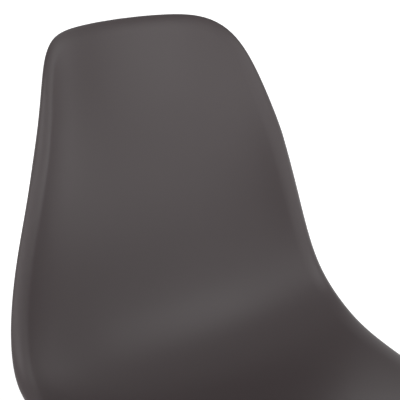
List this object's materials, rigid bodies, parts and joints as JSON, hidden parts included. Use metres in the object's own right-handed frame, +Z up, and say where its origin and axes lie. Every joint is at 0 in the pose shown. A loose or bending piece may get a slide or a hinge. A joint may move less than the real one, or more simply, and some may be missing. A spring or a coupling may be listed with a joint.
{
  "type": "shell side chair",
  "caption": "Dining side chair: one-piece moulded plastic shell with a rolled lip, on splayed tapered wooden legs braced by crossed steel wires.",
  "frame": {"origin": "on the floor below the middle of the chair's footprint", "axes": "+Z up; the sitter faces -Y; +X to the right seen from above with the front towards -Y"},
  "size_m": [0.4738, 0.504, 0.8353],
  "materials": {
    "shell_plastic": "injection-moulded polypropylene, dark warm grey, fine satin grain",
    "leg_beech": "turned solid beech, clear satin lacquer",
    "base_steel": "steel strap and wire, black satin powder coat",
    "screw_steel": "steel screws and nuts, black oxide",
    "pad_rubber": "moulded black rubber",
    "insert_brass": "turned brass",
    "glide_nylon": "moulded black nylon"
  },
  "bodies": {
    "root": {"seat_shell": "shell_plastic", "threaded_inserts": "insert_brass", "mount_pads": "pad_rubber", "leg_bracket_front_right": "base_steel", "leg_front_right": "leg_beech", "leg_bracket_rear_right": "base_steel", "leg_rear_right": "leg_beech", "leg_bracket_rear_left": "base_steel", "leg_rear_left": "leg_beech", "leg_bracket_front_left": "base_steel", "leg_front_left": "leg_beech", "wire_right_outer": "base_steel", "wire_right_inner": "base_steel", "wire_rear_outer": "base_steel", "wire_rear_inner": "base_steel", "wire_left_outer": "base_steel", "wire_left_inner": "base_steel", "wire_front_outer": "base_steel", "wire_front_inner": "base_steel", "leg_lugs": "base_steel", "leg_glides": "glide_nylon", "upper_leg_screws": "screw_steel", "lower_leg_screws": "screw_steel", "leg_nuts": "screw_steel", "seat_screws": "screw_steel"}
  },
  "joints": []
}
